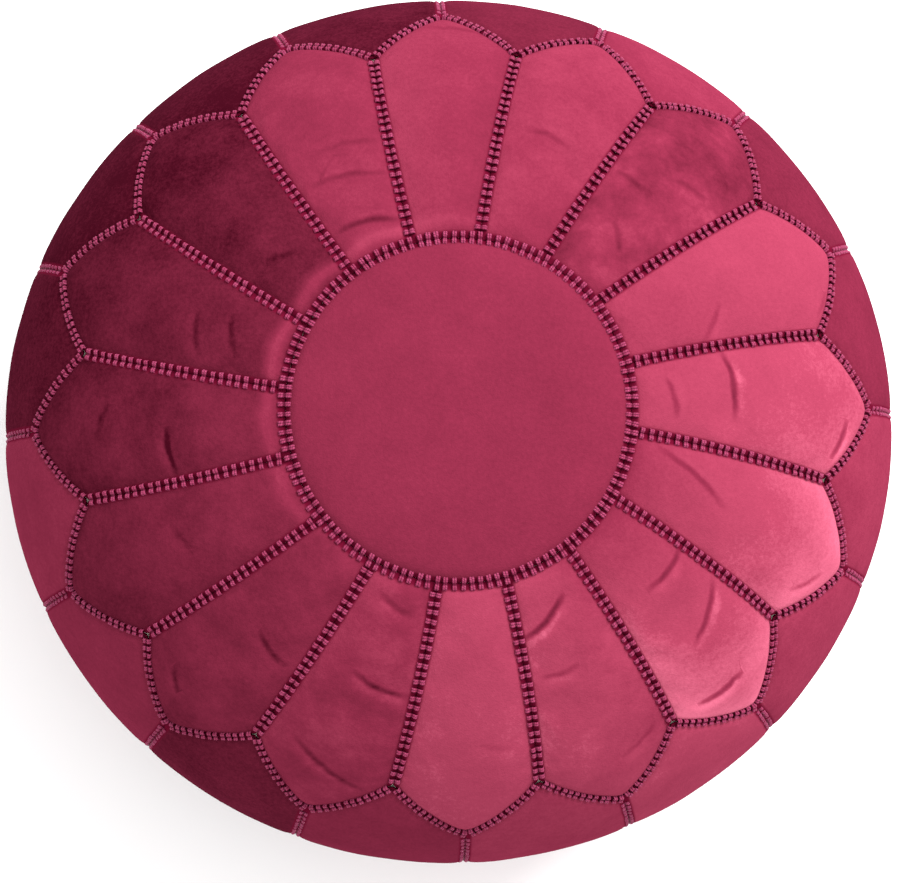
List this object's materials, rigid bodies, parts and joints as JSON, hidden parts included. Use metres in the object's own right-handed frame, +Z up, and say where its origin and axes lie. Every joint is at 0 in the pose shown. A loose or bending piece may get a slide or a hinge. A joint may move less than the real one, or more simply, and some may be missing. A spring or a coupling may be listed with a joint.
{
  "type": "stuffed floor pouf",
  "caption": "Round stuffed floor pouf of laced velvet panels, with a round medallion, a ring of pointed petals and a zip in the base.",
  "frame": {"origin": "on the floor, under the centre of the pouf", "axes": "+Z up; +X along the zip, towards its closed end, which is also the pouf's slightly wider way"},
  "size_m": [0.5492, 0.5348, 0.315],
  "materials": {
    "velvet": "short-pile crimson velvet, with a nap that shows lighter and darker by its lie",
    "lacing_thread": "glossy twisted silk-like thread, mauve crimson",
    "zip_tape": "dark red herringbone zip tape",
    "zip_teeth": "dark red nylon coil",
    "zip_metal": "polished nickel plate, lightly worn",
    "bag_cotton": "plain unbleached cotton",
    "fibre": "packed white fibre"
  },
  "bodies": {
    "root": {"medallion": "velvet", "petal_01": "velvet", "petal_02": "velvet", "petal_03": "velvet", "petal_04": "velvet", "petal_05": "velvet", "petal_06": "velvet", "petal_07": "velvet", "petal_08": "velvet", "petal_09": "velvet", "petal_10": "velvet", "petal_11": "velvet", "petal_12": "velvet", "petal_13": "velvet", "petal_14": "velvet", "petal_15": "velvet", "petal_16": "velvet", "wall_panel_01": "velvet", "wall_panel_02": "velvet", "wall_panel_03": "velvet", "wall_panel_04": "velvet", "wall_panel_05": "velvet", "wall_panel_06": "velvet", "wall_panel_07": "velvet", "wall_panel_08": "velvet", "wall_panel_09": "velvet", "wall_panel_10": "velvet", "wall_panel_11": "velvet", "wall_panel_12": "velvet", "wall_panel_13": "velvet", "wall_panel_14": "velvet", "wall_panel_15": "velvet", "wall_panel_16": "velvet", "base_half_front": "velvet", "base_half_back": "velvet", "medallion_lacing": "lacing_thread", "petal_lacing": "lacing_thread", "wall_lacing": "lacing_thread", "inner_bag": "bag_cotton", "filling": "fibre", "zip_tape_front": "zip_tape", "zip_teeth_front": "zip_teeth", "zip_tape_back": "zip_tape", "zip_teeth_back": "zip_teeth", "zip_bottom_stop": "zip_metal", "zip_top_stop_front": "zip_metal", "zip_top_stop_back": "zip_metal"},
    "slider": {"zip_slider": "zip_metal"},
    "pull_tab": {"zip_pull_tab": "zip_metal"}
  },
  "joints": [
    {"name": "zip_slide", "type": "slide", "parent": "root", "child": "slider", "axis": [-1, 0, 0], "range_m": [0, 0.2143]},
    {"name": "pull_tab_swing", "type": "hinge", "parent": "slider", "child": "pull_tab", "pos_m": [0.11392, 0, 0.0043], "axis": [0, -1, 0], "range_deg": [-7.2, 142.8]}
  ]
}
